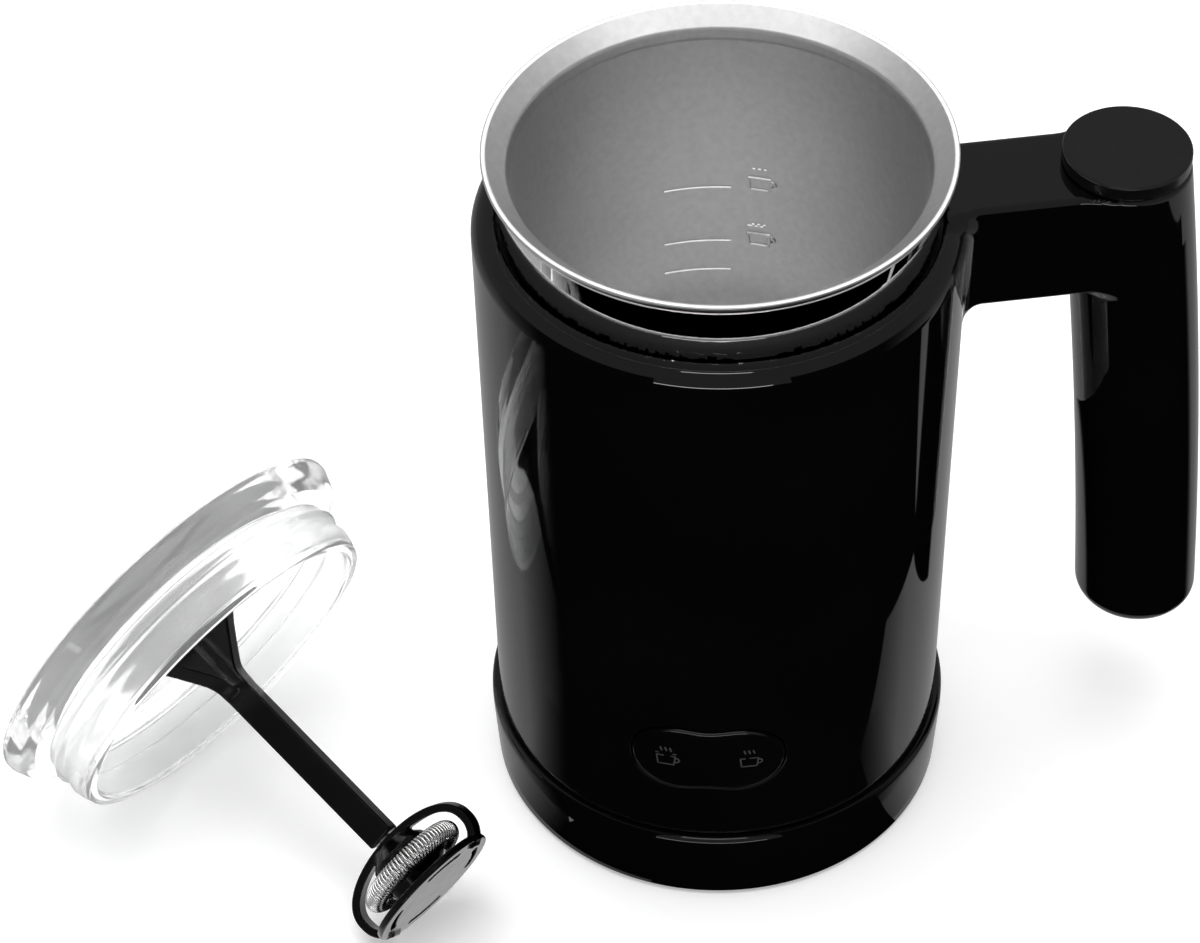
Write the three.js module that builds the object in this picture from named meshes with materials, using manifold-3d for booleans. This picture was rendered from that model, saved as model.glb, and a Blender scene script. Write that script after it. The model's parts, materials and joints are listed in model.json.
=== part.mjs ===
// Electric milk frother: a jug on a round power base, and its lid lying beside it with the whisk fitted.
// Millimetres, +Z up. The origin is the jug's axis at the level the feet stand on.
// -Y is the front, where the button is. The handle is on the +X side, the lid lies on the -X side.
import * as THREE from "three";
import { LoftGeometry } from "three/addons/geometries/LoftGeometry.js";
import { mergeVertices } from "three/addons/utils/BufferGeometryUtils.js";
import Module from "manifold-3d";

const wasm = await Module();
wasm.setup();

const DEG = Math.PI / 180;
const ROUND = 32; // sides of a large round piece
const SMALL = 10; // sides of a small round piece
const FIT = 0.3; // gap between pieces that touch

// Base
const FOOT_R = 2.9;
const FOOT_RING_R = 49.8;
const FOOT_COUNT = 4;
const FOOT_START = -76 * DEG;
const RIM_UNDER_Z = 1; // underside of the base's outer rim
const REST_Z = 0.9; // underside of the base's cover
const BASE_COVER_R = 45.4;
const BASE_COVER_TOP_Z = 3;
const BASE_R = 55.3;
const BASE_SHOULDER = 2.6;
const BASE_TOP_Z = 20.7;
const DECK_Z = 18.6;
const DECK_UNDER_Z = 16.4;
const TOWER_R = 15;
const TOWER_Z = 33;
const GLAND_Z = 9.9;
const GLAND_HOLE_R = 4.9;

// Screws under the base and under the jug
const SCREW_COUNT = 3;
const SCREW_HOLE_R = 1.9;
const BOSS_R = 4.2;
const BASE_SCREW_RING_R = 36;
const JUG_SCREW_RING_R = 47.4;

// Jug
const BODY_LOW_Z = 21.3;
const BODY_LOW_R = 53.5;
const BODY_TOP_Z = 170.3;
const BODY_TOP_R = 54.9;
const WALL = 2.6;
const RIM_R = 52;
const RIM_Z = 187.9;
const POT_R = 45.7;
const POT_WALL = 0.8;
const POT_FLOOR_Z = 98;
const POT_CORNER = 8;
const COVER_LOW_Z = 21.9; // the jug's bottom cover
const COVER_TOP_Z = 24.3;
const COUPLER_R = 19;

// Handle
const HANDLE_TURN = 11.5 * DEG;
const ARM_TOP_Z = 172;
const ARM_LOW_Z = 144;
const ARM_HALF_WIDTH = 12.3;
const GRIP_R = 14.6;
const GRIP_BORE_R = 11.6;
const GRIP_LOW_Z = 34;
const GRIP_CORNER = 5;
const GRIP_FOOT_REACH = 104.2; // distance of the grip's centre line from the jug's axis at its foot
const GRIP_LEAN = 0.037;
const GRIP_BOW = 0.000275;
const CAP_R = 14.45;
const CAP_TOP_Z = 175.8;
const CAP_PLUG = 2.5; // depth of the cap's plug in the grip's bore
const CAP_PLAY = 0.8;
const HANDLE_SCREW_Z = [148.5, 155.8];

// Button
const BUTTON_Z = 48;
const BUTTON_HALF_LENGTH = 17.7;
const BUTTON_HALF_HEIGHT = 10.45;
const BUTTON_WAIST = 1.2;
const BUTTON_R = 54.2;
const BUTTON_BACK_R = 51.6;
const BUTTON_GAP = 0.5;
const PIVOT_Y = -47.5;
const LUG_HALF_LENGTH = 7.8; // the button's lug, along its pivot
const LUG_GAP = 1; // between the button's lug and each lug of its carrier
const CARRIER_LUG = 2.6;
const SWITCH_X = 12;
const BOARD_Y = -40;
const BOARD_THICKNESS = 1.6;

// Heater and drive
const HEATER_R = 33;
const HEATER_Z = 93.2;
const HEATER_TUBE_R = 3;
const MOTOR_R = 14;
const MOTOR_LOW_Z = 52;
const MOTOR_FLANGE_Z = 76.2;
const MOTOR_TOP_Z = 78;
const SHAFT_R = 1.5;
const CARRIER_R = 16;
const CARRIER_LOW_Z = 87;
const CARRIER_TOP_Z = 93;
const MAGNET_X = 10;
const MAGNET_R = 4;

// Lid and whisk: s runs along their common axis from the lid's top face towards the whisk
const LID_X = -133;
const LID_Y = -13.5;
const LID_HEADING = -38.7 * DEG;
const LID_TILT = 20.6 * DEG; // how far the axis dips below level
const LOOP_ROLL = 46.9 * DEG; // turn of the whisk's loop about the axis, from level
const LID_R = 51.8;
const LID_WALL_R = 42.3; // outside of the wall that goes into the jug
const LID_WALL_END_S = 22.2;
const SEAL_LIP_R = 45.6;
const SHAFT_END_S = 77.6;
const DISC_S = 94.6;
const DISC_R = 17.3;
const COIL_S = 87.1;
const COIL_R = 11.65;
const COIL_TUBE_R = 2.65;
const LOOP_S = 88.4;
const LOOP_HALF_WIDTH = 18.5;
const LOOP_HALF_HEIGHT = 9.4;
const LOOP_WIDTH = 4.4;
const LOOP_HALF_THICKNESS = 1;
const LOOP_START = -36; // degrees past level where the loop meets the disc
const HUB_START_S = 79.4;
const WHISK_MAGNET_Y = 10.5;
const WHISK_MAGNET_R = 3;
const WHISK_PIN_R = 1.4;
const FIN_HALF_THICKNESS = 2.3;
const NECK_S = 24; // where the fins have closed in on the shaft
const HOLDER_S = 3.1; // face of the shaft's round foot, under the lid
const HOLDER_R = 22;

// Materials
function finish(color, roughness, metalness = 0, opacity = 1) {
  const transparent = opacity < 1;
  return new THREE.MeshStandardMaterial({ color, roughness, metalness, opacity, transparent });
}
const GLOSS_BLACK = finish(0x0b0b0c, 0.12);
const SATIN_BLACK = finish(0x1c1c1d, 0.45);
const WHISK_BLACK = finish(0x141414, 0.3);
const STEEL = finish(0xc9c7c4, 0.35, 1);
const MIRROR = finish(0xe2e2e2, 0.06, 1);
const BRASS = finish(0xc8a04a, 0.35, 1);
const CLEAR = finish(0xe9eef0, 0.08, 0, 0.4);
const SILICONE = finish(0xe6e8e8, 0.5, 0, 0.7);
const RUBBER = finish(0x161616, 0.85);
const GREY_PLASTIC = finish(0x8b8d90, 0.6);
const BOARD_GREEN = finish(0x1d5a35, 0.6);
const MAGNET_GREY = finish(0x6c6c70, 0.4, 1);

// Solids
function solid(geometry) {
  const bare = new THREE.BufferGeometry();
  bare.setAttribute("position", geometry.getAttribute("position"));
  bare.setIndex(geometry.getIndex());
  const merged = mergeVertices(bare, 1e-4);
  const triVerts = new Uint32Array(merged.index.array);
  const vertProperties = merged.attributes.position.array;
  return new wasm.Manifold(new wasm.Mesh({ numProp: 3, vertProperties, triVerts }));
}

function surface(manifold) {
  const mesh = manifold.getMesh();
  const geometry = new THREE.BufferGeometry();
  geometry.setAttribute("position", new THREE.BufferAttribute(new Float32Array(mesh.vertProperties), 3));
  geometry.setIndex(new THREE.BufferAttribute(new Uint32Array(mesh.triVerts), 1));
  geometry.computeVertexNormals();
  return geometry;
}

function join(first, ...others) {
  return surface(others.reduce((whole, other) => whole.add(solid(other)), solid(first)));
}

function cut(first, ...tools) {
  return surface(tools.reduce((whole, tool) => whole.subtract(solid(tool)), solid(first)));
}

function common(first, second) {
  return surface(solid(first).intersect(solid(second)));
}

// A profile of [radius, height] points turned about Z. It closes on itself unless it ends on the axis.
function turned(profile, sides = ROUND) {
  let area = 0;
  profile.forEach(([r, z], i) => {
    const [nextR, nextZ] = profile[(i + 1) % profile.length];
    area += r * nextZ - nextR * z;
  });
  const points = profile.map(([r, z]) => new THREE.Vector2(r, z));
  if (area < 0) points.reverse();
  const onAxis = points[0].x === 0 && points[points.length - 1].x === 0;
  if (!onAxis) points.push(points[0].clone());
  return new THREE.LatheGeometry(points, sides).rotateX(Math.PI / 2);
}

// Points of a circular arc in a profile, from one angle to another.
function arc(centreR, centreZ, radius, from, to, steps) {
  return Array.from({ length: steps + 1 }, (_, i) => {
    const angle = (from + ((to - from) * i) / steps) * DEG;
    return [centreR + radius * Math.cos(angle), centreZ + radius * Math.sin(angle)];
  });
}

function post(radius, low, high, x = 0, y = 0, sides = SMALL) {
  const geometry = turned([[0, low], [radius, low], [radius, high], [0, high]], sides);
  return geometry.translate(x, y, 0);
}

function ring(inner, outer, low, high, sides = ROUND) {
  return turned([[inner, low], [outer, low], [outer, high], [inner, high]], sides);
}

function block(x0, x1, y0, y1, z0, z1) {
  const geometry = new THREE.BoxGeometry(x1 - x0, y1 - y0, z1 - z0);
  return geometry.translate((x0 + x1) / 2, (y0 + y1) / 2, (z0 + z1) / 2);
}

// A screw standing on Z: a flat head below, a plain shank above.
function screw(headR, shankR, low, neck, high) {
  return turned([[0, low], [headR, low], [headR, neck], [shankR, neck], [shankR, high], [0, high]], SMALL);
}

function around(count, start, radius) {
  return Array.from({ length: count }, (_, i) => {
    const angle = start + (i * 2 * Math.PI) / count;
    return [radius * Math.cos(angle), radius * Math.sin(angle)];
  });
}

const frother = new THREE.Group();

function add(name, geometry, material, parent = frother) {
  const mesh = new THREE.Mesh(geometry, material);
  mesh.name = name;
  parent.add(mesh);
}

// ---- Power base ----
const feet = around(FOOT_COUNT, FOOT_START, FOOT_RING_R);
const baseScrews = around(SCREW_COUNT, 30 * DEG, BASE_SCREW_RING_R);

function baseHousing() {
  const shell = turned([
    [BASE_COVER_R + 0.4, RIM_UNDER_Z],
    [BASE_R - 1.4, RIM_UNDER_Z],
    [BASE_R - 0.7, RIM_UNDER_Z + 0.8],
    [BASE_R, 16.6],
    ...arc(BASE_R - BASE_SHOULDER, BASE_TOP_Z - BASE_SHOULDER, BASE_SHOULDER, 0, 90, 3),
    [BASE_R - 3.1, DECK_Z],
    [TOWER_R + 0.4, DECK_Z],
    [TOWER_R + 0.4, DECK_UNDER_Z],
    [BASE_R - 4.9, DECK_UNDER_Z],
    [BASE_R - 3.4, DECK_UNDER_Z - 1.4],
    [BASE_R - 3.4, RIM_UNDER_Z + 2.8],
    [BASE_COVER_R + 0.4, RIM_UNDER_Z + 2.8],
  ]);
  const bosses = baseScrews.map(([x, y]) => post(BOSS_R, BASE_COVER_TOP_Z + 0.4, DECK_UNDER_Z + 0.6, x, y));
  const screwHoles = baseScrews.map(([x, y]) => post(SCREW_HOLE_R, BASE_COVER_TOP_Z - 0.1, 14, x, y, 8));
  const pockets = feet.map(([x, y]) => post(FOOT_R + FIT, 0, 2.6, x, y));
  const glandHole = post(GLAND_HOLE_R, 0, 20).rotateX(-Math.PI / 2).translate(0, 45, GLAND_Z);
  return cut(join(shell, ...bosses), ...screwHoles, ...pockets, glandHole);
}

function baseCover() {
  const plate = post(BASE_COVER_R, REST_Z, BASE_COVER_TOP_Z, 0, 0, ROUND);
  const holes = baseScrews.map(([x, y]) => post(SCREW_HOLE_R, 0, BASE_COVER_TOP_Z + 2, x, y, 8));
  const sinks = baseScrews.map(([x, y]) => post(3.4, 0, 2.2, x, y));
  return cut(plate, ...holes, ...sinks);
}

add("base_housing", baseHousing(), GLOSS_BLACK);
add("base_bottom_cover", baseCover(), SATIN_BLACK);
feet.forEach(([x, y], i) => add(`foot_${i + 1}`, post(FOOT_R, 0, 2.4, x, y), RUBBER));
baseScrews.forEach(([x, y], i) => {
  add(`base_screw_${i + 1}`, screw(3, 1.5, REST_Z + 0.1, 2.1, 12).translate(x, y, 0), STEEL);
});
add(
  "base_connector",
  turned([
    [3.4, 14],
    [20, 14],
    [20, 16],
    [TOWER_R, 16],
    [TOWER_R, TOWER_Z - 1],
    [TOWER_R - 1, TOWER_Z],
    [10.4, TOWER_Z],
    [10.4, 20],
    [8, 20],
    [8, TOWER_Z],
    [3.4, TOWER_Z],
  ]),
  GREY_PLASTIC,
);
add("contact_ring", ring(8.4, 10, 20.3, 30, 24), BRASS);
const glandProfile = [[3, -4.4], [5.8, -4.4], [5.8, -3.1], [4.6, -3.1], [4.6, 2], [5.6, 2], [4.2, 9], [3, 9]];
add("cord_gland", turned(glandProfile, 20).rotateX(-Math.PI / 2).translate(0, 54, GLAND_Z), RUBBER);

// ---- Jug: underside ----
const jugScrews = around(SCREW_COUNT, 90 * DEG, JUG_SCREW_RING_R);

function jugCover() {
  const plate = ring(COUPLER_R + 0.5, BODY_LOW_R - 3, COVER_LOW_Z, COVER_TOP_Z);
  const holes = jugScrews.map(([x, y]) => post(SCREW_HOLE_R, 20, 26, x, y, 8));
  const sinks = jugScrews.map(([x, y]) => post(2.9, 20, 23.1, x, y, 8));
  return cut(plate, ...holes, ...sinks);
}

add("jug_bottom_cover", jugCover(), SATIN_BLACK);
jugScrews.forEach(([x, y], i) => {
  add(`jug_screw_${i + 1}`, screw(2.6, 1.4, 22, 23, 33).translate(x, y, 0), STEEL);
});
add(
  "jug_coupler",
  turned([
    [TOWER_R + 0.6, COVER_LOW_Z - FIT],
    [COUPLER_R, COVER_LOW_Z - FIT],
    [COUPLER_R, TOWER_Z + 5],
    [0, TOWER_Z + 5],
    [0, TOWER_Z + 2.2],
    [TOWER_R + 0.6, TOWER_Z + 2.2],
  ]),
  GREY_PLASTIC,
);
add("contact_pin", post(2.2, 24, 35.1), BRASS);

// ---- Jug: housing ----
// The button's outline: a rounded bar with a slight waist, seen from the front.
function buttonOutline(grow) {
  const shape = new THREE.Shape();
  const steps = 28;
  for (let i = 0; i < steps; i += 1) {
    const angle = (i * 2 * Math.PI) / steps;
    const along = Math.cos(angle);
    const x = (BUTTON_HALF_LENGTH + grow) * along;
    const full = (BUTTON_HALF_HEIGHT + grow) * Math.sqrt(1 - Math.abs(along) ** 3.2);
    const z = Math.sign(Math.sin(angle)) * Math.max(full - BUTTON_WAIST * Math.exp(-((x / 6) ** 2)), 0);
    if (i === 0) shape.moveTo(x, z);
    else shape.lineTo(x, z);
  }
  return shape;
}

// The outline pushed through the front wall.
function buttonSlug(grow) {
  const slug = new THREE.ExtrudeGeometry(buttonOutline(grow), { depth: 20, bevelEnabled: false });
  return slug.rotateX(Math.PI / 2).translate(0, -42, BUTTON_Z);
}

function outerHousing() {
  const shell = turned([
    [BODY_LOW_R - WALL, BODY_LOW_Z],
    [BODY_LOW_R - 0.5, BODY_LOW_Z],
    [BODY_LOW_R, BODY_LOW_Z + 0.6],
    [BODY_TOP_R, BODY_TOP_Z - 4.8],
    ...arc(BODY_TOP_R - 4.6, BODY_TOP_Z - 4.6, 4.6, 15, 90, 5),
    [49.2, BODY_TOP_Z - 0.6],
    [49.2, BODY_TOP_Z - 3],
    [51, BODY_TOP_Z - 3.8],
    [BODY_TOP_R - WALL, BODY_TOP_Z - 6.5],
  ]);
  const bosses = jugScrews.map(([x, y]) => post(BOSS_R, COVER_TOP_Z + 0.5, 38, x, y));
  const screwHoles = jugScrews.map(([x, y]) => post(SCREW_HOLE_R, COVER_TOP_Z, 36, x, y, 8));
  const handleHoles = HANDLE_SCREW_Z.map((z) => {
    const hole = post(SCREW_HOLE_R, 45, 60, 0, 0, 8).rotateY(Math.PI / 2).rotateZ(HANDLE_TURN);
    return hole.translate(0, 0, z);
  });
  return cut(join(shell, ...bosses), ...screwHoles, ...handleHoles, buttonSlug(BUTTON_GAP));
}

add("outer_housing", outerHousing(), GLOSS_BLACK);
add("pot_gasket", ring(48.8, 51.8, 160.5, 163.6), SILICONE);

// ---- Jug: steel pot and collar ----
add(
  "inner_pot",
  turned([
    [0, POT_FLOOR_Z - POT_WALL],
    ...arc(POT_R + POT_WALL - POT_CORNER, POT_FLOOR_Z - POT_WALL + POT_CORNER, POT_CORNER, -90, 0, 4),
    [POT_R + POT_WALL, 180.5],
    [46.9, 182.6],
    [51.2, 186.3],
    [RIM_R - 0.1, RIM_Z - 0.9],
    [RIM_R, RIM_Z - 0.4],
    [RIM_R - 0.4, RIM_Z],
    [51, RIM_Z - 0.1],
    [46.3, 183.6],
    [POT_R, 181.2],
    ...arc(POT_R - POT_CORNER, POT_FLOOR_Z + POT_CORNER, POT_CORNER, 0, -90, 4),
    [0, POT_FLOOR_Z],
  ]),
  STEEL,
);
add(
  "chrome_collar",
  turned([
    [46.9, 160],
    [48.5, 160],
    [48.6, 170.5],
    [49.1, 175],
    [49.9, 180],
    [50.8, 185.2],
    [50.1, 185],
    [47.3, 182.3],
    [46.9, 181],
  ]),
  MIRROR,
);

// ---- Jug: handle ----
// Distance of the grip's centre line from the jug's axis: it leans out and bows slightly.
function gripReach(z) {
  const lean = GRIP_LEAN * (z - GRIP_LOW_Z);
  const bow = GRIP_BOW * (z ** 2 - GRIP_LOW_Z ** 2);
  return GRIP_FOOT_REACH - lean - bow;
}

function circleAt(x, z, radius, sides) {
  return around(sides, 0, radius).map(([dx, dy]) => new THREE.Vector3(x + dx, dy, z));
}

function gripBody(radius, lowZ, corner, topZ) {
  const sides = 20;
  const cornerLevels = arc(radius - corner, lowZ + corner, corner, -90, 0, 3);
  const bodyLevels = [0.25, 0.5, 0.75, 1].map((f) => [radius, lowZ + corner + f * (topZ - lowZ - corner)]);
  const levels = corner > 0 ? [...cornerLevels, ...bodyLevels] : [[radius, lowZ], ...bodyLevels];
  const sections = levels.map(([r, z]) => circleAt(gripReach(z), z, r, sides));
  return new LoftGeometry(sections, { capStart: true, capEnd: true });
}

// One upright section of the arm at distance x from the jug's axis, flared by grow near the jug.
function armSection(x, grow) {
  const corner = 1.4;
  const halfWidth = ARM_HALF_WIDTH + grow - corner;
  const low = ARM_LOW_Z - grow + corner;
  const high = ARM_TOP_Z - corner;
  const corners = [[1, high, 0], [-1, high, 90], [-1, low, 180], [1, low, 270]];
  const outline = corners.flatMap(([side, z, start]) => arc(side * halfWidth, z, corner, start, start + 90, 2));
  return outline.map(([y, z]) => new THREE.Vector3(x, y, z));
}

function handleShell() {
  const flare = [[52, 5], [56, 2.4], [58, 1], [61, 0.2], [64, 0], [gripReach(ARM_TOP_Z), 0]];
  const arm = new LoftGeometry(flare.map(([x, grow]) => armSection(x, grow)), { capStart: true, capEnd: true });
  const grip = gripBody(GRIP_R, GRIP_LOW_Z, GRIP_CORNER, ARM_TOP_Z);
  const bore = gripBody(GRIP_BORE_R, GRIP_LOW_Z + 10, 0, ARM_TOP_Z + 1);
  const jugSide = turned([[0, 130], [BODY_TOP_R + FIT, 130], [BODY_TOP_R + FIT, 180], [0, 180]]);
  const holes = HANDLE_SCREW_Z.map((z) => {
    const hole = post(SCREW_HOLE_R, 45, 68, 0, 0, 8).rotateY(Math.PI / 2);
    return hole.translate(0, 0, z);
  });
  jugSide.rotateZ(-HANDLE_TURN);
  return cut(join(arm, grip), bore, jugSide, ...holes).rotateZ(HANDLE_TURN);
}

const capReach = gripReach(ARM_TOP_Z);
add("handle_shell", handleShell(), GLOSS_BLACK);
add(
  "handle_cap",
  turned([
    [0, ARM_TOP_Z - CAP_PLUG],
    [GRIP_BORE_R - CAP_PLAY, ARM_TOP_Z - CAP_PLUG],
    [GRIP_BORE_R - CAP_PLAY, ARM_TOP_Z + 0.2],
    [CAP_R, ARM_TOP_Z + 0.2],
    [CAP_R, CAP_TOP_Z - 0.4],
    [CAP_R - 0.4, CAP_TOP_Z],
    [0, CAP_TOP_Z],
  ]).translate(capReach * Math.cos(HANDLE_TURN), capReach * Math.sin(HANDLE_TURN), 0),
  SATIN_BLACK,
);
HANDLE_SCREW_Z.forEach((z, i) => {
  const geometry = screw(2.9, 1.5, 48.6, 50.6, 66).rotateY(Math.PI / 2).rotateZ(HANDLE_TURN);
  add(`handle_screw_${i + 1}`, geometry.translate(0, 0, z), STEEL);
});

// ---- Jug: two-way start button ----
function startButton() {
  const skin = ring(BUTTON_BACK_R, BUTTON_R, BUTTON_Z - 15, BUTTON_Z + 15, 72);
  const plate = common(buttonSlug(0), skin);
  const lug = block(-3, 3, -52.4, -46, BUTTON_Z - LUG_HALF_LENGTH, BUTTON_Z + LUG_HALF_LENGTH);
  const ribs = [-1, 1].map((side) =>
    block(side * SWITCH_X - 1.2, side * SWITCH_X + 1.2, -51.2, -45.4, BUTTON_Z - 3, BUTTON_Z + 3),
  );
  return cut(join(plate, lug, ...ribs), post(1.25, 38, 58, 0, PIVOT_Y));
}

function buttonCarrier() {
  const plate = block(-6, 6, -44.6, -43, BUTTON_Z - 12, BUTTON_Z + 12);
  const lugMiddle = LUG_HALF_LENGTH + LUG_GAP + CARRIER_LUG / 2;
  const lugs = [-1, 1].map((side) => {
    const z = BUTTON_Z + side * lugMiddle;
    return block(-3.5, 3.5, -49.8, -43.4, z - CARRIER_LUG / 2, z + CARRIER_LUG / 2);
  });
  return cut(join(plate, ...lugs), post(1.2, BUTTON_Z - 13, BUTTON_Z + 13, 0, PIVOT_Y));
}

function tactSwitch(x) {
  const boardFront = BOARD_Y - BOARD_THICKNESS;
  const body = block(x - 3, x + 3, boardFront - 2.3, boardFront - 0.2, BUTTON_Z - 3, BUTTON_Z + 3);
  const tip = post(1.7, 0, 1.6, 0, 0, 8).rotateX(Math.PI / 2).translate(x, -43, BUTTON_Z);
  return join(body, tip);
}

add("start_button", startButton(), GLOSS_BLACK);
add("button_carrier", buttonCarrier(), SATIN_BLACK);
add("button_pin", post(1.1, BUTTON_Z - 11.2, BUTTON_Z + 11.2, 0, PIVOT_Y), STEEL);
add("circuit_board", block(-20, 20, BOARD_Y - BOARD_THICKNESS, BOARD_Y, 34, 66), BOARD_GREEN);
add("tact_switch_1", tactSwitch(-SWITCH_X), SATIN_BLACK);
add("tact_switch_2", tactSwitch(SWITCH_X), SATIN_BLACK);

// ---- Jug: heater, sensors and drive ----
add("heater_ring", turned(arc(HEATER_R, HEATER_Z, HEATER_TUBE_R, 0, 300, 5), 24), STEEL);
add("thermostat", post(4.8, 84, POT_FLOOR_Z - POT_WALL - 0.4, -22.5, 0), GREY_PLASTIC);
add("thermal_fuse", post(2, -6, 6, 0, 0, 8).rotateY(Math.PI / 2).translate(0, 23, 93), BRASS);
add(
  "motor_can",
  turned([
    [0, MOTOR_LOW_Z],
    [MOTOR_R, MOTOR_LOW_Z],
    [MOTOR_R, MOTOR_FLANGE_Z],
    [MOTOR_R + 3, MOTOR_FLANGE_Z],
    [MOTOR_R + 3, MOTOR_TOP_Z],
    [SHAFT_R + 0.5, MOTOR_TOP_Z],
    [SHAFT_R + 0.5, MOTOR_LOW_Z + 8],
    [0, MOTOR_LOW_Z + 8],
  ], 24),
  STEEL,
);
add("motor_bracket", ring(MOTOR_R + 0.4, 45, MOTOR_FLANGE_Z - 2.2, MOTOR_FLANGE_Z - 0.2), GREY_PLASTIC);
add("motor_shaft", post(SHAFT_R, MOTOR_LOW_Z + 9, CARRIER_LOW_Z + 1.5, 0, 0, 8), STEEL);

function magnetCarrier() {
  const body = turned([
    [0, CARRIER_LOW_Z - 3],
    [4, CARRIER_LOW_Z - 3],
    [4, CARRIER_LOW_Z],
    [CARRIER_R, CARRIER_LOW_Z],
    [CARRIER_R, CARRIER_TOP_Z],
    [0, CARRIER_TOP_Z],
  ]);
  const pockets = [-1, 1].map((side) => {
    return post(MAGNET_R + FIT, CARRIER_LOW_Z + 2, CARRIER_TOP_Z + 2, side * MAGNET_X);
  });
  return cut(body, ...pockets, post(SHAFT_R + FIT, 80, CARRIER_LOW_Z + 1.8, 0, 0, 8));
}

add("magnet_carrier", magnetCarrier(), GREY_PLASTIC);
[-1, 1].forEach((side, i) => {
  const geometry = post(MAGNET_R, CARRIER_LOW_Z + 2.3, CARRIER_TOP_Z - 0.1, side * MAGNET_X);
  add(`drive_magnet_${i + 1}`, geometry, MAGNET_GREY);
});

// ---- Lid and whisk, built along +Z and then laid down together ----
const lid = new THREE.Group();
frother.add(lid);

const lidProfile = [
  [0, 0],
  [LID_R - 2.2, 0],
  [LID_R - 0.6, 0.5],
  [LID_R, 1.5],
  [LID_R, 2.5],
  [LID_R - 0.7, 4.3],
  [LID_R - 1.9, 6],
  [LID_R - 4.4, 7.4],
  [LID_WALL_R, 8.4],
  [LID_WALL_R, LID_WALL_END_S - 1.6],
  [LID_WALL_R + 1.3, LID_WALL_END_S - 1.2],
  [LID_WALL_R + 1.1, LID_WALL_END_S - 0.3],
  [LID_WALL_R + 0.5, LID_WALL_END_S],
  [LID_WALL_R - 1.3, LID_WALL_END_S],
  [LID_WALL_R - 1.9, LID_WALL_END_S - 1.4],
  [LID_WALL_R - 1.9, 5.4],
  [LID_WALL_R - 3.2, 3.6],
  [LID_WALL_R - 5.4, 2.9],
  [0, 2.9],
];
add("lid_shell", turned(lidProfile), CLEAR, lid);
add(
  "lid_seal",
  turned([
    [LID_WALL_R + FIT, 8.8],
    [SEAL_LIP_R - 1.4, 8.8],
    [SEAL_LIP_R - 1.7, 11.1],
    [SEAL_LIP_R - 0.1, 12.1],
    [SEAL_LIP_R - 0.1, 12.7],
    [SEAL_LIP_R - 1.7, 13.7],
    [SEAL_LIP_R - 1.5, 15],
    [SEAL_LIP_R - 0.8, 17],
    [SEAL_LIP_R - 1.6, LID_WALL_END_S - 1.8],
    [LID_WALL_R + FIT, LID_WALL_END_S - 1.8],
  ]),
  SILICONE,
  lid,
);

// The shaft is a flat-sided bar that spreads into three curved fins on a round foot under the lid.
function fin(turn) {
  const low = HOLDER_S + 0.6;
  const curve = [[HOLDER_R - 0.4, low], [20.2, 5.4], [15.6, 9.4], [11, 14], [7, 19], [3.2, NECK_S]];
  const outline = [[0, low], ...curve, [0, NECK_S]];
  const shape = new THREE.Shape(outline.map(([r, s]) => new THREE.Vector2(r, s)));
  const plate = new THREE.ExtrudeGeometry(shape, { depth: 2 * FIN_HALF_THICKNESS, bevelEnabled: false });
  return plate.translate(0, 0, -FIN_HALF_THICKNESS).rotateX(Math.PI / 2).rotateZ(turn);
}

function whiskShaft() {
  const foot = post(HOLDER_R, HOLDER_S, HOLDER_S + 1.2, 0, 0, ROUND);
  const bar = block(-3.5, 3.5, -2.5, 2.5, HOLDER_S + 0.5, SHAFT_END_S);
  const fins = [180, 60, -60].map((degrees) => fin(degrees * DEG));
  return cut(join(bar, foot, ...fins), post(WHISK_PIN_R + 0.2, 69, SHAFT_END_S + 1, 0, 0, 8));
}

// Centre line of the whisk's loop, from one edge of the disc over the hub to the other.
function loopPoint(angle) {
  const bulge = Math.sign(Math.sin(angle)) * Math.abs(Math.sin(angle)) ** 0.85;
  return new THREE.Vector2(LOOP_HALF_WIDTH * Math.cos(angle), LOOP_S - LOOP_HALF_HEIGHT * bulge);
}

function whiskLoop() {
  const steps = 20;
  const outside = [];
  const inside = [];
  for (let i = 0; i <= steps; i += 1) {
    const angle = (LOOP_START + ((180 - 2 * LOOP_START) * i) / steps) * DEG;
    const here = loopPoint(angle);
    const along = loopPoint(angle + 0.02).sub(loopPoint(angle - 0.02)).normalize();
    const out = new THREE.Vector2(-along.y, along.x).multiplyScalar(-LOOP_HALF_THICKNESS);
    outside.push(here.clone().add(out));
    inside.unshift(here.clone().sub(out));
  }
  const shape = new THREE.Shape([...outside, ...inside]);
  const band = new THREE.ExtrudeGeometry(shape, { depth: LOOP_WIDTH, bevelEnabled: false });
  return band.translate(0, 0, -LOOP_WIDTH / 2).rotateX(Math.PI / 2);
}

function whiskFrame() {
  const disc = turned([
    [0, DISC_S - 1.8],
    [DISC_R - 0.8, DISC_S - 1.8],
    [DISC_R, DISC_S - 1],
    [DISC_R - 0.2, DISC_S],
    [0, DISC_S],
  ]);
  const hub = turned([
    [0, HUB_START_S],
    [4.6, HUB_START_S],
    [7.6, HUB_START_S + 3],
    [8.6, HUB_START_S + 5],
    [8.6, 89.6],
    [6, 91],
    [6, DISC_S - 1],
    [0, DISC_S - 1],
  ], 24);
  const bosses = [-1, 1].map((side) => post(4.2, 90.4, DISC_S - 1, 0, side * WHISK_MAGNET_Y));
  const pockets = [-1, 1].map((side) => {
    return post(WHISK_MAGNET_R + FIT, 90, DISC_S - 1.2, 0, side * WHISK_MAGNET_Y);
  });
  return cut(join(disc, hub, ...bosses, whiskLoop()), ...pockets, post(WHISK_PIN_R + 0.2, 76, 89, 0, 0, 8));
}

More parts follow.
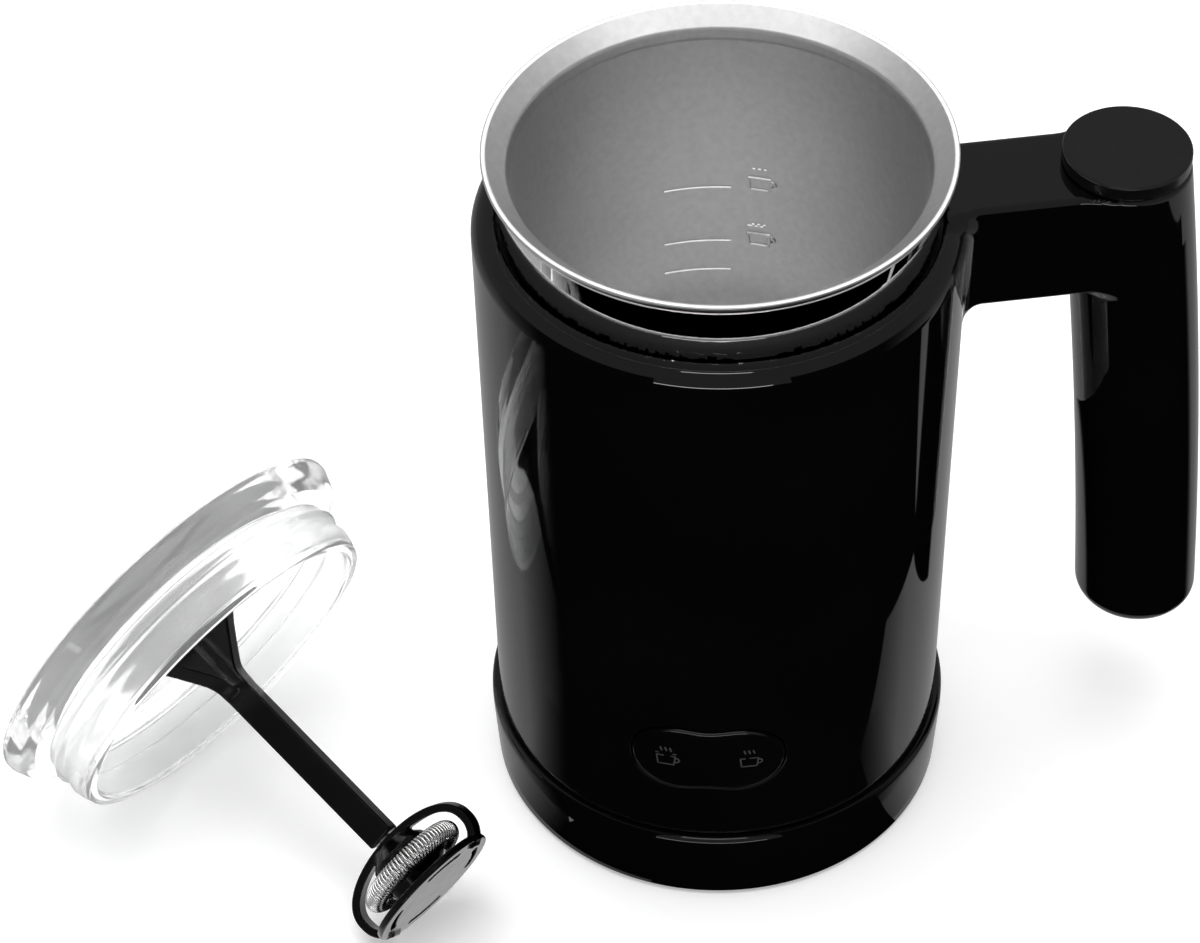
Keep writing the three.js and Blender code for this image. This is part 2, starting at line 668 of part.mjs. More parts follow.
add("whisk_shaft", whiskShaft(), WHISK_BLACK, lid);
add("whisk_pin", post(WHISK_PIN_R, 69.3, 88, 0, 0, 8), STEEL, lid);
add("whisk_frame", whiskFrame(), WHISK_BLACK, lid);
add("whisk_coil", turned(arc(COIL_R, COIL_S, COIL_TUBE_R, 0, 315, 7), 24), STEEL, lid);
[-1, 1].forEach((side, i) => {
  const geometry = post(WHISK_MAGNET_R, 90.6, DISC_S - 1.5, 0, side * WHISK_MAGNET_Y);
  add(`whisk_magnet_${i + 1}`, geometry, MAGNET_GREY, lid);
});

// The lid leans on the edge of its flange, with the whisk pointing to the front and down to the table.
const axis = new THREE.Vector3(
  Math.cos(LID_TILT) * Math.cos(LID_HEADING),
  Math.cos(LID_TILT) * Math.sin(LID_HEADING),
  -Math.sin(LID_TILT),
);
const level = new THREE.Vector3(axis.y, -axis.x, 0).normalize();
const below = new THREE.Vector3().crossVectors(axis, level);
const loopSide = level.multiplyScalar(Math.cos(LOOP_ROLL)).addScaledVector(below, Math.sin(LOOP_ROLL));
const loopFace = new THREE.Vector3().crossVectors(axis, loopSide);
const lowest = Math.max(...lidProfile.map(([r, s]) => r * Math.cos(LID_TILT) + s * Math.sin(LID_TILT)));
lid.quaternion.setFromRotationMatrix(new THREE.Matrix4().makeBasis(loopSide, loopFace, axis));
lid.position.set(LID_X, LID_Y, lowest);

export default frother;
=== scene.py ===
"""Looks of an electric milk frother: jug, round base, and its clear lid with the whisk fitted.

Outlines are given in millimetres, as [radius, height] or [x, y, z]; meshes are made in metres.
"""

import json
import math

import bmesh
import bpy
import numpy as np
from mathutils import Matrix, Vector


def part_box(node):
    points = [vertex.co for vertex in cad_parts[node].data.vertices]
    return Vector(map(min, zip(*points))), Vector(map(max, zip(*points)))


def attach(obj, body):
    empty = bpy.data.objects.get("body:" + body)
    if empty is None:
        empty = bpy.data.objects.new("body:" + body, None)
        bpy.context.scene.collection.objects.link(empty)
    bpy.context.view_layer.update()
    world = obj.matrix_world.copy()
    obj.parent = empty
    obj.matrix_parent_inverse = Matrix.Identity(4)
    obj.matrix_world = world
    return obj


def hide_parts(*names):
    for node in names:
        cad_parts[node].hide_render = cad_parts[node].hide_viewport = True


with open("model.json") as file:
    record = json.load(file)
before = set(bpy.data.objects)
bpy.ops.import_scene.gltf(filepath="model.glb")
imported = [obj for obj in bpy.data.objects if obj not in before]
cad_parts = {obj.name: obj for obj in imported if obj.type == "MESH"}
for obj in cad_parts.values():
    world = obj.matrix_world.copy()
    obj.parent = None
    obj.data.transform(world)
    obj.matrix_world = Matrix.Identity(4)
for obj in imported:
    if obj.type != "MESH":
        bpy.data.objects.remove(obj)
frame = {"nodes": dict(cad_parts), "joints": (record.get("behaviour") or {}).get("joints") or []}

import openvdb
from mathutils import Matrix, Vector

MM = 0.001
DEG = math.pi / 180
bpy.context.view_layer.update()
joints = {joint["name"]: joint for joint in frame["joints"]}

# Sizes shared by several pieces, in millimetres
BODY_LOW_Z, BODY_TOP_Z = 21.3, 170.3
BODY_LOW_R, BODY_TOP_R = 53.5, 54.9
BODY_SLOPE = (BODY_TOP_R - BODY_LOW_R) / (BODY_TOP_Z - BODY_LOW_Z)
BASE_R, BASE_TOP_Z = 55.3, 20.7
HANDLE_TURN = 11.5 * DEG
ARM_TOP_Z, ARM_LOW_Z, ARM_HALF_WIDTH = 172.0, 144.0, 12.3
GRIP_R, GRIP_BORE_R, GRIP_LOW_Z = 14.6, 11.6, 34.0
BUTTON_Z = 48.0
POT_R = 45.7
LOOP_ROLL = 46.9 * DEG
DISC_S, DISC_R = 94.6, 17.3
COIL_S, COIL_R, COIL_TUBE_R = 87.1, 11.65, 2.65


# ---------------------------------------------------------------- materials
def make_material(name, colour, roughness, metallic=0.0, **inputs):
    """A Principled material, with its nodes ready for variation to be added."""
    material = bpy.data.materials.new(name)
    material.use_nodes = True
    nodes = material.node_tree.nodes
    shader = next(n for n in nodes if n.type == "BSDF_PRINCIPLED")
    shader.inputs["Base Color"].default_value = (*colour, 1)
    shader.inputs["Roughness"].default_value = roughness
    shader.inputs["Metallic"].default_value = metallic
    for socket, value in inputs.items():
        shader.inputs[socket.replace("_", " ")].default_value = value
    return material


def object_noise(material, scale):
    """A noise texture over the object's own coordinates; scale is in features per metre."""
    nodes, links = material.node_tree.nodes, material.node_tree.links
    coordinates = nodes.new("ShaderNodeTexCoord")
    noise = nodes.new("ShaderNodeTexNoise")
    noise.inputs["Scale"].default_value = scale
    noise.inputs["Detail"].default_value = 3.0
    links.new(coordinates.outputs["Object"], noise.inputs["Vector"])
    return noise.outputs["Fac"]


def vary(material, socket, fac, low, high):
    """Drives one shader input from a 0 to 1 factor, between two values or two colours."""
    nodes, links = material.node_tree.nodes, material.node_tree.links
    shader = next(n for n in nodes if n.type == "BSDF_PRINCIPLED")
    if isinstance(low, tuple):
        ramp = nodes.new("ShaderNodeValToRGB")
        ramp.color_ramp.elements[0].position = 0.3
        ramp.color_ramp.elements[1].position = 0.7
        ramp.color_ramp.elements[0].color = (*low, 1)
        ramp.color_ramp.elements[1].color = (*high, 1)
        links.new(fac, ramp.inputs["Fac"])
        links.new(ramp.outputs["Color"], shader.inputs[socket])
        return
    spread = nodes.new("ShaderNodeMapRange")
    spread.inputs["From Min"].default_value = 0.3
    spread.inputs["From Max"].default_value = 0.7
    spread.inputs["To Min"].default_value = low
    spread.inputs["To Max"].default_value = high
    links.new(fac, spread.inputs["Value"])
    links.new(spread.outputs["Result"], shader.inputs[socket])


def bump(material, fac, depth_mm):
    nodes, links = material.node_tree.nodes, material.node_tree.links
    shader = next(n for n in nodes if n.type == "BSDF_PRINCIPLED")
    node = nodes.new("ShaderNodeBump")
    node.inputs["Strength"].default_value = 1.0
    node.inputs["Distance"].default_value = depth_mm * MM
    links.new(fac, node.inputs["Height"])
    links.new(node.outputs["Normal"], shader.inputs["Normal"])


def grey(value):
    return (value, value, value)


def varied(name, low, high, rough_low, rough_high, scale, depth_mm, metallic=0.0, **inputs):
    """A material whose colour, roughness and fine relief all vary a little over the surface.

    low and high are its two colours, and scale is the relief's number of features per metre.
    """
    material = make_material(name, low, rough_low, metallic, **inputs)
    vary(material, "Base Color", object_noise(material, scale * 0.4), low, high)
    vary(material, "Roughness", object_noise(material, scale * 0.7), rough_low, rough_high)
    bump(material, object_noise(material, scale), depth_mm)
    return material


gloss_black = varied("moulded_gloss_black", grey(0.0011), grey(0.0017), 0.03, 0.05, 60, 0.0002)
satin_black = varied("moulded_satin_black", grey(0.0025), grey(0.0035), 0.2, 0.26, 900, 0.0012)
whisk_black = varied(
    "whisk_black_plastic", grey(0.0008), grey(0.0014), 0.14, 0.2, 300, 0.001, Specular_IOR_Level=0.18,
)
satin_steel = varied("satin_steel", grey(0.6), grey(0.66), 0.36, 0.44, 1400, 0.004, 1.0)
plain_steel = varied("plain_steel", grey(0.5), grey(0.6), 0.25, 0.4, 500, 0.004, 1.0)
wire_steel = varied("whisk_wire_steel", grey(0.7), grey(0.8), 0.14, 0.22, 900, 0.001, 1.0)
mirror_steel = varied("mirror_steel", grey(0.86), grey(0.9), 0.015, 0.035, 200, 0.0004, 1.0)
# Its faint white emission is a painted glow: the lid is no lamp, and the glow stands in for light carried
# through the plate to its flange
clear_plastic = varied(
    "clear_plastic", (0.985, 0.988, 0.99), (0.995, 0.997, 1.0), 0.01, 0.03, 90, 0.004,
    Transmission_Weight=0.9, IOR=1.2, Emission_Color=(1, 1, 1, 1), Emission_Strength=0.01,
)
silicone = varied(
    "milky_silicone", (0.94, 0.945, 0.945), (0.97, 0.97, 0.97), 0.2, 0.26, 400, 0.002,
    Transmission_Weight=0.8, IOR=1.15,
)
rubber = varied("black_rubber", grey(0.012), grey(0.02), 0.6, 0.75, 1200, 0.01)
grey_plastic = varied("grey_plastic", grey(0.2), grey(0.24), 0.4, 0.5, 900, 0.006)
brass = varied("contact_brass", (0.6, 0.42, 0.16), (0.68, 0.5, 0.22), 0.2, 0.35, 500, 0.003, 1.0)
board_green = varied("board_green", (0.01, 0.075, 0.025), (0.02, 0.11, 0.04), 0.35, 0.5, 700, 0.01)
magnet_grey = varied("magnet_nickel", grey(0.38), grey(0.46), 0.25, 0.35, 600, 0.003, 1.0)
icon_grey = varied("printed_icon_grey", grey(0.035), grey(0.05), 0.4, 0.5, 900, 0.001)

# Finishes of the inner parts, which keep their CAD meshes
FINISHES = {
    "satin_black": satin_black,
    "steel": plain_steel,
    "contact_brass": brass,
    "silicone": silicone,
    "grey_plastic": grey_plastic,
    "board_green": board_green,
    "magnet_grey": magnet_grey,
}


# ---------------------------------------------------------------- mesh helpers
def mesh_piece(name, points, faces, material, body, stands_for=(), sharp=None):
    """Makes a piece from points in millimetres. sharp is the angle above which an edge stays sharp."""
    mesh = bpy.data.meshes.new(name)
    mesh.from_pydata((np.asarray(points, float) * MM).tolist(), [], [list(map(int, f)) for f in faces])
    mesh.update()
    tidy = bmesh.new()
    tidy.from_mesh(mesh)
    bmesh.ops.remove_doubles(tidy, verts=tidy.verts, dist=1e-7)
    bmesh.ops.recalc_face_normals(tidy, faces=tidy.faces)
    tidy.to_mesh(mesh)
    tidy.free()
    mesh.shade_smooth()
    piece = bpy.data.objects.new(name, mesh)
    bpy.context.scene.collection.objects.link(piece)
    mesh.materials.append(material)
    if sharp is not None:
        mesh.set_sharp_from_angle(angle=sharp * DEG)
        weighted = piece.modifiers.new("weighted normals", "WEIGHTED_NORMAL")
        weighted.keep_sharp = True
        weighted.weight = 100
    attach(piece, body)
    if stands_for:
        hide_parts(*stands_for)
    return piece


def rounded(outline, closed=True, steps=6):
    """Rounds the corners of an outline: a point [u, v, radius] becomes an arc of that radius."""
    made = []
    count = len(outline)
    for i, point in enumerate(outline):
        here = np.array(point[:2], float)
        radius = point[2] if len(point) > 2 else 0
        if radius == 0 or (not closed and i in (0, count - 1)):
            made.append(here)
            continue
        before = np.array(outline[i - 1][:2], float) - here
        after = np.array(outline[(i + 1) % count][:2], float) - here
        before_length, after_length = np.linalg.norm(before), np.linalg.norm(after)
        before, after = before / before_length, after / after_length
        half = math.acos(float(np.clip(before @ after, -1, 1))) / 2
        reach = min(radius / math.tan(half), 0.48 * before_length, 0.48 * after_length)
        radius = reach * math.tan(half)
        centre = here + (before + after) / np.linalg.norm(before + after) * radius / math.sin(half)
        start, end = here + before * reach - centre, here + after * reach - centre
        turn = math.atan2(start[0] * end[1] - start[1] * end[0], start @ end)
        for k in range(steps + 1):
            angle = turn * k / steps
            cos, sin = math.cos(angle), math.sin(angle)
            made.append(centre + np.array([start[0] * cos - start[1] * sin, start[0] * sin + start[1] * cos]))
    return [tuple(p) for p in made]


def turned(outline, sides):
    """Points and faces of an outline of [radius, height] points turned about Z."""
    count = len(outline)
    angles = np.arange(sides) * 2 * math.pi / sides
    points = [(r * math.cos(a), r * math.sin(a), z) for a in angles for r, z in outline]
    on_axis = outline[0][0] < 1e-9 and outline[-1][0] < 1e-9
    faces = []
    for i in range(sides):
        j = (i + 1) % sides
        for k in range(count - 1 if on_axis else count):
            n = (k + 1) % count
            corners = [i * count + k, j * count + k, j * count + n, i * count + n]
            if outline[k][0] < 1e-9:
                corners = [corners[0], corners[2], corners[3]]
            elif outline[n][0] < 1e-9:
                corners = corners[:3]
            faces.append(corners)
    return points, faces


def lathe_piece(name, outline, material, body, stands_for, sides=128, place=None, steps=6):
    points, faces = turned(rounded(outline, steps=steps), sides)
    points = np.array(points)
    if place is not None:
        points = placed(points, place)
    return mesh_piece(name, points, faces, material, body, stands_for, sharp=38)


def placed(points, place):
    """Points moved by a 4x4 matrix in millimetres."""
    matrix = np.array(place, float)
    return np.asarray(points, float) @ matrix[:3, :3].T + matrix[:3, 3]


def outline_distance(outline, u, v):
    """Signed distance from points (u, v) to a closed outline, negative inside."""
    nearest = np.full(u.shape, 1e9, np.float32)
    inside = np.zeros(u.shape, bool)
    for (u0, v0), (u1, v1) in zip(outline, outline[1:] + outline[:1]):
        du, dv = u1 - u0, v1 - v0
        length = du * du + dv * dv
        if length < 1e-12:
            continue
        along = np.clip(((u - u0) * du + (v - v0) * dv) / length, 0, 1)
        nearest = np.minimum(nearest, np.hypot(u - u0 - along * du, v - v0 - along * dv))
        if abs(dv) > 1e-9:
            inside ^= ((v0 <= v) != (v1 <= v)) & (u < u0 + (v - v0) * du / dv)
    return np.where(inside, -nearest, nearest)


def join_round(a, b, radius):
    """Union of two distance fields with a fillet of that radius where they meet."""
    fillet = np.hypot(np.maximum(radius - a, 0), np.maximum(radius - b, 0))
    return np.maximum(radius, np.minimum(a, b)) - fillet


def cut_round(a, b, radius):
    """Intersection of two distance fields with the edge rounded to that radius."""
    corner = np.hypot(np.maximum(radius + a, 0), np.maximum(radius + b, 0))
    return np.minimum(-radius, np.maximum(a, b)) + corner


def block_distance(x, y, z, low, high, radius):
    """Distance to a box with rounded edges."""
    sides = []
    for p, lo, hi in zip((x, y, z), low, high):
        sides.append(np.abs(p - (lo + hi) / 2) - ((hi - lo) / 2 - radius))
    outside = np.sqrt(sum(np.maximum(s, 0) ** 2 for s in sides))
    return outside + np.minimum(np.maximum(np.maximum(sides[0], sides[1]), sides[2]), 0) - radius


def gradient(field, p, step=0.02):
    parts = []
    for axis in range(3):
        shift = np.zeros(3)
        shift[axis] = step
        ahead, behind = p + shift, p - shift
        parts.append((field(*ahead.T) - field(*behind.T)) / (2 * step))
    return np.stack(parts, 1)


def field_mesh(field, low, high, voxel):
    """Points and quads of a distance field's surface, each point moved exactly on to it."""
    counts = [int(math.ceil((hi - lo) / voxel)) + 1 for lo, hi in zip(low, high)]
    axes = [lo + voxel * np.arange(n) for lo, n in zip(low, counts)]
    x, y, z = (g.astype(np.float32) for g in np.meshgrid(*axes, indexing="ij"))
    values = np.clip(field(x, y, z), -3 * voxel, 3 * voxel).astype(np.float32)
    grid = openvdb.FloatGrid(3 * voxel)
    grid.copyFromArray(values)
    points, quads = grid.convertToQuads(isovalue=0.0)
    points = points.astype(float) * voxel + np.array(low)
    for _ in range(4):
        slope = gradient(field, points)
        size = np.maximum((slope**2).sum(1), 0.05)
        step = (field(*points.T) / size)[:, None] * slope
        points -= np.clip(step, -0.5 * voxel, 0.5 * voxel)
    return points, quads


def field_normals(piece, field, to_field=None, least=0.8, step=0.02):
    """Normals from the distance field, except on faces that were cut at an angle to it."""
    mesh = piece.data
    points = np.empty(len(mesh.vertices) * 3)
    mesh.vertices.foreach_get("co", points)
    points = points.reshape(-1, 3) / MM
    turn = np.eye(3)
    if to_field is not None:
        points = placed(points, to_field)
        turn = np.array(to_field, float)[:3, :3]
    slopes = gradient(field, points, step)
    slopes /= np.maximum(np.linalg.norm(slopes, axis=1), 1e-9)[:, None]
    slopes = slopes @ turn
    owners = np.empty(len(mesh.loops), int)
    mesh.loops.foreach_get("vertex_index", owners)
    totals = np.empty(len(mesh.polygons), int)
    mesh.polygons.foreach_get("loop_total", totals)
    flat = np.empty(len(mesh.polygons) * 3)
    mesh.polygons.foreach_get("normal", flat)
    flat = np.repeat(flat.reshape(-1, 3), totals, axis=0)
    exact = slopes[owners]
    agree = (exact * flat).sum(1) > least
    mesh.normals_split_custom_set(np.where(agree[:, None], exact, flat).tolist())


# ---------------------------------------------------------------- jug body and handle
body_inside = rounded([
    [0, 0],
    [50.9, 0],
    [50.9, BODY_LOW_Z],
    [52.3, 163.8],
    [51, 166.5],
    [49.2, 167.3],
    [49.2, 169.6],
    [49.9, 170.4],
    [49.9, 190],
    [0, 190],
])


def grip_reach(z):
    """Distance of the grip's centre line from the jug's axis: it leans out and bows slightly."""
    return 104.2 - 0.037 * (z - 34) - 0.000275 * (z**2 - 34**2)


def handle_distance(x, y, z):
    """Distance to the arm and the grip, in the handle's own frame, with the arm along +X."""
    cap_reach = grip_reach(ARM_TOP_Z)
    arm = block_distance(x, y, z, (44, -ARM_HALF_WIDTH, ARM_LOW_Z), (cap_reach, ARM_HALF_WIDTH, 220), 1.4)
    around = np.hypot(x - grip_reach(np.clip(z, 20, 180)), y)
    grip = cut_round(around - GRIP_R, GRIP_LOW_Z - z, 5.0)
    whole = cut_round(join_round(arm, grip, 3.5), z - ARM_TOP_Z, 1.2)
    bore = np.maximum(around - GRIP_BORE_R, 44 - z)
    return np.maximum(whole, -bore)


def jug_distance(x, y, z):
    radius = np.hypot(x, y)
    side = radius - BODY_LOW_R - (z - BODY_LOW_Z) * BODY_SLOPE
    outside = cut_round(cut_round(side, z - BODY_TOP_Z, 4.6), BODY_LOW_Z - z, 0.6)
    whole = np.maximum(join_round(outside, handle_distance(x, y, z), 4.0), z - ARM_TOP_Z)
    return np.maximum(whole, -outline_distance(body_inside, radius, z))


handle_matrix = Matrix.Rotation(HANDLE_TURN, 4, "Z")
points, quads = field_mesh(jug_distance, (-58, -58, 19), (122, 58, 175), 1.0)
jug_housing = mesh_piece(
    "jug_housing_and_handle", placed(points, handle_matrix), quads[:, ::-1], gloss_black, "jug",
    ("outer_housing", "handle_shell"),
)


def button_edge(grow, sides=96):
    """The button's outline seen from the front: a rounded bar with a slight waist."""
    outline = []
    for i in range(sides):
        angle = i * 2 * math.pi / sides
        x = (17.7 + grow) * math.cos(angle)
        full = (10.45 + grow) * math.sqrt(1 - abs(math.cos(angle)) ** 3.2)
        height = max(full - 1.2 * math.exp(-((x / 6) ** 2)), 0)
        outline.append((x, BUTTON_Z + math.copysign(height, math.sin(angle))))
    return outline


def on_cylinder(x, z, radius):
    return (x, -math.sqrt(radius**2 - x**2), z)


def layered(layers, cap_rings=(0.75, 0.5, 0.25), sides=96):
    """Closed mesh through outlines wrapped on cylinders: each layer is (grow, radius)."""
    rings = [[on_cylinder(x, z, radius) for x, z in button_edge(grow, sides)] for grow, radius in layers]
    for shrink in cap_rings:
        grow, radius = layers[-1]
        edge = button_edge(grow, sides)
        rings.append([on_cylinder(x * shrink, BUTTON_Z + (z - BUTTON_Z) * shrink, radius) for x, z in edge])
    points = [p for ring in rings for p in ring]
    faces = []
    for k in range(len(rings) - 1):
        for i in range(sides):
            j = (i + 1) % sides
            faces.append([k * sides + i, k * sides + j, (k + 1) * sides + j, (k + 1) * sides + i])
    faces.append([sides - 1 - i for i in range(sides)])
    points.append(on_cylinder(0, BUTTON_Z, layers[-1][1]))
    last = (len(rings) - 1) * sides
    faces += [[last + i, last + (i + 1) % sides, len(points) - 1] for i in range(sides)]
    return points, faces


def carve(piece, tools):
    """Cuts closed tools out of a piece and bakes the result."""
    for tool_points, tool_faces in tools:
        mesh = bpy.data.meshes.new("tool")
        mesh.from_pydata((np.asarray(tool_points, float) * MM).tolist(), [], tool_faces)
        shape = bmesh.new()
        shape.from_mesh(mesh)
        bmesh.ops.recalc_face_normals(shape, faces=shape.faces)
        shape.to_mesh(mesh)
        shape.free()
        tool = bpy.data.objects.new("tool", mesh)
        bpy.context.scene.collection.objects.link(tool)
        cutter = piece.modifiers.new("cut", "BOOLEAN")
        cutter.operation = "DIFFERENCE"
        cutter.solver = "EXACT"
        cutter.object = tool
        bpy.context.view_layer.update()
        evaluated = piece.evaluated_get(bpy.context.evaluated_depsgraph_get())
        result = bpy.data.meshes.new_from_object(evaluated)
        piece.modifiers.remove(cutter)
        old = piece.data
        piece.data = result
        result.name = piece.name
        bpy.data.meshes.remove(old)
        bpy.data.objects.remove(tool)
        bpy.data.meshes.remove(mesh)
    piece.data.shade_smooth()


opening = layered([(0.5, 46), (0.5, 53.35), (0.56, 53.5), (0.72, 53.66), (0.95, 53.78), (0.95, 57)])
carve(jug_housing, [opening])
field_normals(jug_housing, jug_distance, handle_matrix.inverted())

cap_centre = Vector((math.cos(HANDLE_TURN), math.sin(HANDLE_TURN), 0)) * grip_reach(ARM_TOP_Z)
lathe_piece(
    "handle_top_cap",
    [
        [0, 169.5], [10.8, 169.5, 0.3], [10.8, 171.9], [13.9, 171.9], [13.9, 172.5], [14.45, 172.5, 0.3],
        [14.45, 175.8, 0.55], [0, 175.8],
    ],
    satin_black, "jug", ("handle_cap",), 96, Matrix.Translation(cap_centre),
)

# ---------------------------------------------------------------- steel pot, collar and level marks
pot_outline = rounded([
    [0, 97.2],
    [46.5, 97.2, 8.8],
    [46.5, 181.0, 3],
    [47.2, 182.9, 2],
    [51.1, 186.2, 0.8],
    [52.0, 187.0, 0.45],
    [52.0, 187.9, 0.42],
    [50.9, 187.85, 0.8],
    [46.4, 183.8, 2.2],
    [45.7, 181.5, 3],
    [45.7, 98, 8],
    [0, 98],
], steps=8)


def wall_strip(path, width, height):
    """A raised strip on the pot's wall along a path of (degrees, z) points."""
    outer, inner = POT_R + 0.1, POT_R - height
    points, faces = [], []
    along = [np.array([angle * DEG * POT_R, z]) for angle, z in path]
    for i, here in enumerate(along):
        ahead = along[min(i + 1, len(along) - 1)] - along[max(i - 1, 0)]
        side = np.array([-ahead[1], ahead[0]]) / np.linalg.norm(ahead)
        for radius, spread in ((outer, 0.5), (inner, 0.3), (inner, -0.3), (outer, -0.5)):
            u, v = here + side * spread * width
            points.append((radius * math.cos(u / POT_R), radius * math.sin(u / POT_R), v))
    for i in range(len(along) - 1):
        for k in range(4):
            n = (k + 1) % 4
            faces.append([4 * i + k, 4 * i + n, 4 * i + 4 + n, 4 * i + 4 + k])
    last = 4 * (len(along) - 1)
    faces += [[3, 2, 1, 0], [last, last + 1, last + 2, last + 3]]
    return points, faces


def cup_lines(size):
    """Lines of a plain mug seen from the side, as (across, up) points: rim, sides, foot and handle."""
    half_turn = np.linspace(0, math.pi, 9)
    lines = [
        [(-size, 0), (size, 0)],
        [(-size, 0), (-0.85 * size, -1.3 * size)],
        [(size, 0), (0.85 * size, -1.3 * size)],
        [(-0.85 * size, -1.3 * size), (0.85 * size, -1.3 * size)],
        [(size * (0.93 + 0.5 * math.sin(t)), -size * (0.2 + 0.35 * (1 - math.cos(t)))) for t in half_turn],
    ]
    return lines


def steam_lines(size, tall):
    """Three short wavy lines over the mug, or three dots when they aren't tall."""
    lines = []
    for middle in (-0.5, 0, 0.5):
        if tall:
            bends = np.linspace(0, math.pi, 9)
            lines.append([(size * (middle + 0.08 * math.sin(2 * t)), size * (0.75 + 0.18 * t)) for t in bends])
        else:
            lines.append([(size * (middle - 0.12), size), (size * (middle + 0.12), size)])
    return lines


def cup_marks(angle, z, size):
    """The mug's lines on the pot's far wall, where degrees fall to the right."""
    lines = cup_lines(size) + steam_lines(size, False)
    return [[(angle - across / POT_R / DEG, z + up) for across, up in line] for line in lines]


marks = []
for z in (112.0, 121.0, 137.5):
    marks.append([(88.5 + i * 2.5, z) for i in range(9)])
marks += cup_marks(80.2, 141, 2.7) + cup_marks(80.2, 124, 2.7)
marks.append([(83.6, 126.2), (78.4, 126.2)])
points, faces = turned(pot_outline, 144)
for path in marks:
    more_points, more_faces = wall_strip(path, 0.85, 0.4)
    faces += [[i + len(points) for i in face] for face in more_faces]
    points += more_points
mesh_piece("milk_pot", points, faces, satin_steel, "jug", ("inner_pot",), sharp=38)

lathe_piece(
    "mirror_collar",
    [
        [46.9, 160], [48.5, 160], [48.6, 170.5, 20], [49.05, 175, 30], [49.9, 180, 30], [50.85, 185.3, 0.3],
        [50.1, 185.0, 0.3], [47.3, 182.3, 1], [46.9, 181, 1],
    ],
    mirror_steel, "jug", ("chrome_collar",), 160, steps=4,
)

# ---------------------------------------------------------------- power base
lathe_piece(
    "power_base_ring",
    [
        [45.8, 1], [54.3, 1, 0.7], [BASE_R, 17], [BASE_R, BASE_TOP_Z, 2.6], [52.3, BASE_TOP_Z, 0.3],
        [52.2, 18.6, 0.3], [15.4, 18.6, 0.2], [15.4, 16.4], [50.6, 16.4, 0.8], [51.9, 15], [51.9, 3.8],
        [45.8, 3.8],
    ],
    gloss_black, "base", ("base_housing",), 160, steps=8,
)
hole_points, hole_faces = turned([(0, 0), (4.9, 0), (4.9, 20), (0, 20)], 48)
CORD_HOLE_Z = 9.9
bored_from_back = Matrix.Translation((0, 45, CORD_HOLE_Z)) @ Matrix.Rotation(-math.pi / 2, 4, "X")
base_ring = bpy.data.objects["power_base_ring"]
pockets = []
for i in range(4):
    foot_low, foot_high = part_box(f"foot_{i + 1}")
    centre = (foot_low + foot_high) / 2 / MM
    pocket, pocket_faces = turned([(0, -1), (3.2, -1), (3.2, 2.6), (0, 2.6)], 32)
    pockets.append((np.array(pocket) + [centre.x, centre.y, 0], pocket_faces))
carve(base_ring, [(placed(hole_points, bored_from_back), hole_faces), *pockets])
base_ring.data.set_sharp_from_angle(angle=38 * DEG)

for i in range(4):
    foot_low, foot_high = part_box(f"foot_{i + 1}")
    centre = (foot_low + foot_high) / 2 / MM
    lathe_piece(
        f"rubber_foot_{i + 1}",
        [[0, 0.3], [1.6, 0.3, 0.3], [1.9, 0, 0.2], [2.9, 0, 0.5], [2.9, 2.4, 0.3], [0, 2.4]],
        rubber, "base", (f"foot_{i + 1}",), 32, Matrix.Translation((centre.x, centre.y, 0)),
    )

lathe_piece(
    "cord_gland_sleeve",
    [
        [3, -4.4], [5.8, -4.4, 0.3], [5.8, -3.1, 0.3], [4.6, -3.1, 0.3], [4.6, 2.2, 0.3], [5.6, 2.2, 0.5],
        [5.2, 4.2, 0.5], [4.5, 4.6, 0.3], [4.9, 5.6, 0.5], [4.3, 6.6, 0.3], [4.5, 7.6, 0.5], [4.2, 9, 0.6],
        [3, 9, 0.5],
    ],
    rubber, "base", ("cord_gland",), 48,
    Matrix.Translation((0, 54, CORD_HOLE_Z)) @ Matrix.Rotation(-math.pi / 2, 4, "X"),
)

# ---------------------------------------------------------------- button
def bored_block(low, high, centre, radius=0.0, sides=24):
    """A block with an upright bore through it, or none when the radius is 0."""
    corners = [math.atan2(y - centre[1], x - centre[0]) for x in (low[0], high[0]) for y in (low[1], high[1])]
    angles = sorted([*corners, *(np.arange(sides) * 2 * math.pi / sides - math.pi)])
    rings = []
    for z, bored in ((low[2], True), (low[2], False), (high[2], False), (high[2], True)):
        ring = []
        for angle in angles:
            cos, sin = math.cos(angle), math.sin(angle)
            reach_x = ((high[0] if cos > 0 else low[0]) - centre[0]) / cos if abs(cos) > 1e-9 else 1e9
            reach_y = ((high[1] if sin > 0 else low[1]) - centre[1]) / sin if abs(sin) > 1e-9 else 1e9
            reach = radius if bored else min(reach_x, reach_y)
            ring.append((centre[0] + reach * cos, centre[1] + reach * sin, z))
        rings.append(ring)
    count = len(angles)
    faces = []
    for k in range(4 if radius else 3):
        n = (k + 1) % 4
        for i in range(count):
            j = (i + 1) % count
            corner_ids = [k * count + i, k * count + j, n * count + j, n * count + i]
            if not radius and k == 0:
                corner_ids = corner_ids[1:]
            if not radius and k == 2:
                corner_ids = corner_ids[:3]
            faces.append(corner_ids)
    return [p for ring in rings for p in ring], faces


def gathered(parts):
    """One list of points and one of faces, from several closed shapes."""
    points, faces = [], []
    for more_points, more_faces in parts:
        faces += [[i + len(points) for i in face] for face in more_faces]
        points += list(more_points)
    return points, faces


